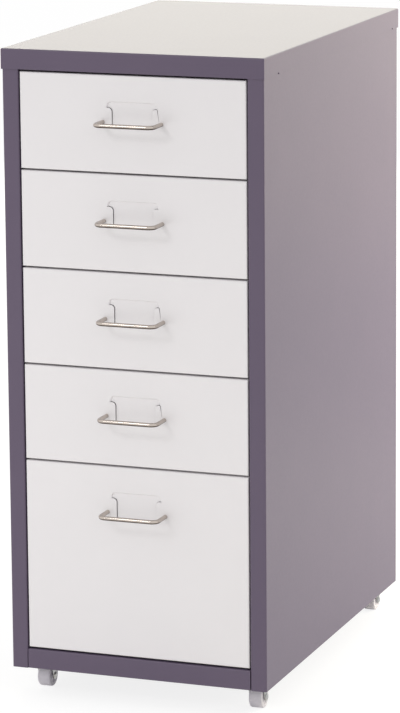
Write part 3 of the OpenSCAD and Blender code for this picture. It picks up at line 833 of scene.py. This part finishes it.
@dataclass
class Fastener(ABC):
    """A screw or a nut, made once as a model and then set wherever its CAD node has one."""

    finish: bpy.types.Material
    sets: Plan
    plan: Plan
    height: float  # how far it stands out from its seat

    @abstractmethod
    def model(self) -> bpy.types.Object:
        """Make the one that the others are copied from.

        Returns:
            The model, with its seat on the origin and its head up.
        """

    def seat(self, low: Vector, high: Vector, aim: Aim) -> Vector:
        """Find the seat of one fastener.

        Args:
            low: Lowest corner of its CAD solid.
            high: Highest corner of its CAD solid.
            aim: Way in which it points.

        Returns:
            The place of the seat, on the fastener's axis.
        """
        ahead = Euler(aim.value).to_matrix() @ Vector((0, 0, 1))
        half = abs(ahead.dot(high - low)) / 2
        return (low + high) / 2 + ahead * (half - self.height)

    def build(self, name: str, node: str, body: str, aim: Aim, most_turn: float, seed: int) -> None:
        """Set the fasteners of one CAD node.

        Args:
            name: Name of the piece.
            node: Name of the CAD node.
            body: Body that carries it.
            aim: Way in which they point.
            most_turn: Angle up to which each is turned at random.
            seed: Seed of the turns.
        """
        seats = [self.seat(low, high, aim) for low, high in solids(node)]
        model = self.model()
        piece = self.sets.grow(name, bare_points(seats), model=model, aim=aim.value,
                               most_turn=most_turn, seed=seed, material=self.finish)
        bpy.data.objects.remove(model)
        fit(piece, body, node)


@dataclass
class PanScrew(Fastener):
    """A pan-head sheet-metal screw with a cross recess."""

    height: float = 1.9 * MM
    head: float = 6.4 * MM
    crown: float = 3.52 * MM  # diameter of the flat top
    crown_round: float = 1.6 * MM
    brow: float = 5.952 * MM  # diameter where the top turns into the side
    brow_height: float = 1.178 * MM
    brow_round: float = 0.95 * MM
    rim_height: float = 0.38 * MM
    rim_round: float = 0.76 * MM
    foot_chamfer: float = 0.1 * MM
    around: int = 32
    recess: float = 3.5 * MM
    slot: float = 0.75 * MM
    recess_depth: float = 1.2 * MM
    shank: float = 3.4 * MM
    length: float = 6 * MM
    pitch: float = 1.1 * MM
    thread_depth: float = 0.55 * MM

    def model(self) -> bpy.types.Object:
        """Make the screw that the others are copied from.

        Returns:
            The screw, with its seat on the origin and its head up.
        """
        head = section(
            (0, self.height, 0), (self.crown / 2, self.height, self.crown_round),
            (self.brow / 2, self.brow_height, self.brow_round),
            (self.head / 2, self.rim_height, self.rim_round),
            (self.head / 2 - self.foot_chamfer, 0, 0), (0, 0, 0))
        return self.plan.grow(
            "screw_model", head, around=self.around, head=self.height, recess=self.recess,
            slot=self.slot, recess_depth=self.recess_depth, shank=self.shank, length=self.length,
            pitch=self.pitch, depth=self.thread_depth, material=self.finish)


@dataclass
class HexNut(Fastener):
    """A chamfered hexagon nut."""

    height: float = 3.2 * MM
    flats: float = 7 * MM
    face: float = 6.65 * MM  # diameter of the flat face inside the chamfer
    chamfer: float = 0.42 * MM
    spare: float = 0.1 * MM  # what the turned blank is larger than the hexagon's corners
    bore: float = 4 * MM
    around: int = 48

    def model(self) -> bpy.types.Object:
        """Make the nut that the others are copied from.

        Returns:
            The nut, standing on the origin.
        """
        corner = self.flats / 2 / math.cos(math.pi / 6) + self.spare
        blank = section(
            (0, self.height, 0), (self.face / 2, self.height, 0),
            (corner, self.height - self.chamfer, 0), (corner, self.chamfer, 0),
            (self.face / 2, 0, 0), (0, 0, 0))
        return self.plan.grow("nut_model", blank, around=self.around, flats=self.flats,
                              height=self.height, bore=self.bore, material=self.finish)


@dataclass
class Carcass:
    """The folded body of the cabinet, its runner frame and the screws that show on it."""

    sheets: Sheets
    screw: PanScrew
    nodes: tuple[str, ...] = (
        "left_side", "right_side", "top_cap", "base_tray", "back_panel", "left_front_post",
        "left_rear_post", "right_front_post", "right_rear_post", "left_rails", "right_rails")
    back_seed: int = 11
    plate_seed: int = 23

    def build(self) -> None:
        """Dress the sheets, then set the screws of the back panel and of the caster plates."""
        for node in self.nodes:
            self.sheets.dress(node, CABINET)
        self.screw.build("back_panel_screws", "back_screws", CABINET, Aim.TO_REAR,
                         most_turn=math.tau, seed=self.back_seed)
        self.screw.build("caster_plate_screws", "caster_screws", CABINET, Aim.DOWN,
                         most_turn=math.tau, seed=self.plate_seed)


@dataclass
class Handle:
    """A bent wire pull with threaded ends."""

    finish: bpy.types.Material
    plan: Plan
    wire: float = 4.5 * MM
    bend: float = 7 * MM
    tail: float = 4 * MM
    tail_length: float = 6 * MM
    pitch: float = 0.7 * MM
    thread_depth: float = 0.385 * MM

    def build(self, drawer: str) -> None:
        """Build the handle of one drawer.

        Args:
            drawer: Body of the drawer.
        """
        node = f"{drawer}_handle"
        low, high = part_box(node)
        half = self.wire / 2
        left, right = low.x + half, high.x - half
        bar, face = low.y + half, high.y - self.tail_length
        z = (low.z + high.z) / 2
        path = [Vector((left, face, z)), Vector((left, bar, z)),
                Vector((right, bar, z)), Vector((right, face, z))]
        piece = self.plan.grow(
            f"{drawer}_pull", bare_points(path, joined=True), wire=self.wire, bend=self.bend,
            tail=self.tail, tail_length=self.tail_length, pitch=self.pitch, depth=self.thread_depth,
            material=self.finish)
        fit(piece, drawer, node)


@dataclass
class Drawer:
    """A drawer: pressed front, folded tray, back, wire pull and the pull's two nuts."""

    sheets: Sheets
    handle: Handle
    nut: HexNut

    def build(self, number: int) -> None:
        """Build one drawer.

        Args:
            number: Number of the drawer, counted from the top.
        """
        body = f"drawer_{number}"
        for part in ("front", "tray", "back"):
            self.sheets.dress(f"{body}_{part}", body)
        self.handle.build(body)
        self.nut.build(f"{body}_pull_nuts", f"{body}_nuts", body, Aim.TO_REAR,
                       most_turn=0.0, seed=number)


@dataclass
class Caster:
    """A swivel caster: pressed plate and fork, riveted axle and moulded wheel."""

    zinc: bpy.types.Material
    nylon: bpy.types.Material
    turned: Plan
    pressed: Sheets
    axle: float = 4 * MM
    axle_around: int = 32
    rivet: float = 7.5 * MM
    rivet_height: float = 1.4 * MM
    rivet_crown: float = 4.125 * MM  # diameter of the rivet's flat top
    crown_round: float = 1.2 * MM
    rim_drop: float = 1.05 * MM
    rim_round: float = 0.5 * MM
    bore: float = 4.1 * MM
    wheel_around: int = 96
    tread_edge: float = 0.7 * MM
    shoulder_drop: float = 0.7 * MM
    shoulder_width: float = 1.5 * MM
    tread_ease: float = 0.8 * MM
    boss: float = 7.6 * MM
    boss_slope: float = 0.3 * MM
    boss_round: float = 0.3 * MM
    dish: float = 0.9 * MM
    web: float = 14.6 * MM
    lip_slope: float = 0.4 * MM
    lip_round: float = 0.4 * MM

    def axle_section(self, length: float) -> bpy.types.Mesh:
        """Draw the section of an axle whose two ends are formed to heads.

        Args:
            length: Length over both heads.

        Returns:
            The section.
        """
        end = length / 2
        seat = end - self.rivet_height
        upper = [(0, end, 0), (self.rivet_crown / 2, end, self.crown_round),
                 (self.rivet / 2, end - self.rim_drop, self.rim_round), (self.rivet / 2, seat, 0),
                 (self.axle / 2, seat, 0)]
        return section(*upper, *lower_half(upper))

    def wheel_section(self, radius: float, width: float) -> bpy.types.Mesh:
        """Draw the section of a wheel with tapered shoulders and a dished web at each side.

        Args:
            radius: Outer radius.
            width: Width over the hub.

        Returns:
            The section, closed in a ring.
        """
        half, low = width / 2, width / 2 - self.dish
        hole = (self.bore / 2, half, 0.0)
        upper = [hole, (self.boss / 2, half, self.boss_round),
                 (self.boss / 2 + self.boss_slope, low, self.boss_round),
                 (self.web / 2 - self.lip_slope, low, self.lip_round),
                 (self.web / 2, half, self.lip_round),
                 (radius - self.shoulder_drop, half, self.tread_edge),
                 (radius, half - self.shoulder_width, self.tread_ease)]
        return section(*upper, *lower_half(upper), hole)

    def build(self, corner: str) -> None:
        """Build the caster at one corner.

        Args:
            corner: Name of the corner in the CAD nodes.
        """
        swivel = f"swivel_{corner}"
        self.pressed.dress(f"caster_{corner}_plate", CABINET)
        self.pressed.dress(f"caster_{corner}_fork", swivel)
        node = f"caster_{corner}_axle"
        low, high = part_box(node)
        axle = self.turned.grow(
            f"caster_{corner}_rivet", self.axle_section(high.x - low.x), around=self.axle_around,
            centre=(low + high) / 2, aim=Aim.TO_RIGHT.value, material=self.zinc)
        fit(axle, swivel, node)
        node = f"caster_{corner}_wheel"
        low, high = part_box(node)
        tyre = self.wheel_section((high.z - low.z) / 2, high.x - low.x)
        wheel = self.turned.grow(
            f"caster_{corner}_tyre", tyre, around=self.wheel_around, centre=(low + high) / 2,
            aim=Aim.TO_RIGHT.value, material=self.nylon)
        fit(wheel, f"wheel_{corner}", node)


# ---- Studio ----

@dataclass(frozen=True)
class SoftLamp:
    """A large rectangular lamp."""

    name: str
    place: Place
    aim: Place
    size: tuple[float, float]
    power: float
    colour: str = WHITE
    mirrored: bool = True  # whether it shows in glossy surfaces

    def hang(self) -> None:
        """Hang the lamp and turn it to its aim."""
        lamp = bpy.data.lights.new(self.name, "AREA")
        lamp.shape = "RECTANGLE"
        lamp.size, lamp.size_y = self.size
        lamp.energy = self.power
        lamp.color = linear(self.colour)[:3]
        holder = bpy.data.objects.new(self.name, lamp)
        holder.location = self.place
        beam = Vector(self.aim) - Vector(self.place)
        holder.rotation_euler = beam.to_track_quat("-Z", "Y").to_euler()
        holder.visible_camera = False
        holder.visible_glossy = self.mirrored
        bpy.context.scene.collection.objects.link(holder)


def seen_by_eye(tree: bpy.types.NodeTree) -> bpy.types.Node:
    """Tell what the eye sees, straight or in a reflection, from what only lights the object.

    Args:
        tree: Tree that takes the nodes.

    Returns:
        A node that gives one for camera, glossy and transmission rays, and zero for others.
    """
    rays = add(tree, "ShaderNodeLightPath").outputs
    bent = add(tree, "ShaderNodeMath", {
        0: rays["Is Glossy Ray"], 1: rays["Is Transmission Ray"]}, operation="MAXIMUM")
    return add(tree, "ShaderNodeMath", {0: rays["Is Camera Ray"], 1: bent}, operation="MAXIMUM")


@dataclass
class Studio:
    """Pale floor, white surround, soft lamps and the camera."""

    lamps: tuple[SoftLamp, ...] = (
        SoftLamp("key_lamp", (-0.85, -2.4, 1.9), (0, -0.24, 0.45), (0.65, 0.45), 7.0),
        SoftLamp("sill_lamp", (-0.6, -1.1, 0.25), (-0.05, -0.2, 0.06), (0.9, 0.4), 1.5,
                 mirrored=False),
        SoftLamp("rear_lamp", (-1.0, 3.0, 1.3), (0, 0, 0.6), (4.6, 2.4), 65.8, "#fffcea"),
        SoftLamp("wing_lamp", (0.85, 0.8, 0.48), (0.14, 0.2, 0.4), (0.7, 0.6), 11.6, "#fff9e0",
                 mirrored=False),
        SoftLamp("graze_lamp", (0.75, 1.9, 0.8), (0.14, 0.2, 0.4), (1.0, 1.5), 1.95, "#ffeac7"),
    )
    ambient: float = 0.67  # light that the surround gives, of the one at which it is seen
    floor_size: float = 14.0
    floor_colour: str = "#f7f6f4"  # as it lights the object
    shadow_grey: float = 0.26  # linear, as it takes shadows, for the eye
    floor_glow: float = 0.82
    image: tuple[int, int] = (400, 713)
    focal_px: float = 3609.31
    axis_above_centre_px: float = 100.0
    film_width: float = 36.0  # in the millimetres of the lens
    camera_place: Place = (1331.15 * MM, -3593.84 * MM, 1158.40 * MM)
    yaw: float = math.radians(20.4082)
    pitch: float = math.radians(10.5793)
    roll: float = math.radians(-0.4775)

    def surround(self) -> None:
        """Set a world that is white to the eye and in reflections, and softer as light."""
        world = bpy.data.worlds.new("white_surround")
        world.use_nodes = True
        bpy.context.scene.world = world
        tree = world.node_tree
        tree.nodes.clear()
        level = add(tree, "ShaderNodeMapRange", {
            "Value": seen_by_eye(tree), "To Min": self.ambient, "To Max": 1.0})
        light = add(tree, "ShaderNodeBackground", {"Color": linear(WHITE), "Strength": level})
        add(tree, "ShaderNodeOutputWorld", {"Surface": light})

    def floor(self) -> None:
        """Lay the pale floor, which is nearly white to the eye and keeps a faint shadow."""
        half = self.floor_size / 2
        mesh = bpy.data.meshes.new("floor")
        corners = [(-half, -half, 0), (half, -half, 0), (half, half, 0), (-half, half, 0)]
        mesh.from_pydata(corners, [], [(0, 1, 2, 3)])
        made = bpy.data.materials.new("pale_paper_floor")
        made.use_nodes = True
        tree = made.node_tree
        tree.nodes.clear()
        as_light = add(tree, "ShaderNodeBsdfDiffuse", {"Color": linear(self.floor_colour)})
        shaded = add(tree, "ShaderNodeBsdfDiffuse", {"Color": (*[self.shadow_grey] * 3, 1.0)})
        glow = add(tree, "ShaderNodeEmission", {"Strength": self.floor_glow})
        seen = add(tree, "ShaderNodeAddShader", {0: shaded, 1: glow})
        both = add(tree, "ShaderNodeMixShader", {0: seen_by_eye(tree), 1: as_light, 2: seen})
        add(tree, "ShaderNodeOutputMaterial", {"Surface": both})
        mesh.materials.append(made)
        new_object("floor", mesh)

    def camera(self) -> None:
        """Set up the camera, whose axis runs above the middle of the image."""
        longest = max(self.image)
        eye = bpy.data.cameras.new("camera")
        eye.sensor_width = self.film_width
        eye.lens = self.focal_px / longest * self.film_width
        eye.shift_y = -self.axis_above_centre_px / longest
        holder = bpy.data.objects.new("camera", eye)
        holder.matrix_world = (
            Matrix.Translation(self.camera_place) @ Matrix.Rotation(self.yaw, 4, "Z")
            @ Matrix.Rotation(math.pi / 2 - self.pitch, 4, "X") @ Matrix.Rotation(self.roll, 4, "Z"))
        bpy.context.scene.collection.objects.link(holder)
        bpy.context.scene.camera = holder

    def build(self) -> None:
        """Set up the whole studio."""
        self.surround()
        self.floor()
        for lamp in self.lamps:
            lamp.hang()
        self.camera()
        bpy.context.scene.view_settings.view_transform = "Standard"


def main() -> None:
    """Build the sub-assemblies of the cabinet in order, then the studio."""
    logging.basicConfig(level=logging.INFO, format="%(name)s: %(message)s")
    body_coat = PowderCoat("purple_grey_powder_coat", colour="#62556a", cloud_colour="#5d5166").material()
    drawer_coat = PowderCoat("off_white_powder_coat", colour="#f1eef0", cloud_colour="#eeebed").material()
    zinc = ZincPlate().material()
    nickel = NickelWire().material()
    nylon = MouldedNylon().material()
    lathe, thread, sets = lathe_plan(), thread_plan(), fastening_plan()

    screw = PanScrew(zinc, sets, screw_plan(lathe, thread))
    Carcass(Sheets(body_coat, Slot.BODY), screw).build()

    handle = Handle(nickel, handle_plan(thread))
    nut = HexNut(zinc, sets, nut_plan(lathe))
    drawer = Drawer(Sheets(drawer_coat, Slot.DRAWER), handle, nut)
    for number in range(1, DRAWERS + 1):
        drawer.build(number)

    caster = Caster(zinc, nylon, turned_plan(lathe), Sheets(zinc, Slot.ZINC, edge=PRESSED_EDGE))
    for corner in ("fl", "fr", "rl", "rr"):
        caster.build(corner)
    Studio().build()


if __name__ == "__main__":
    main()
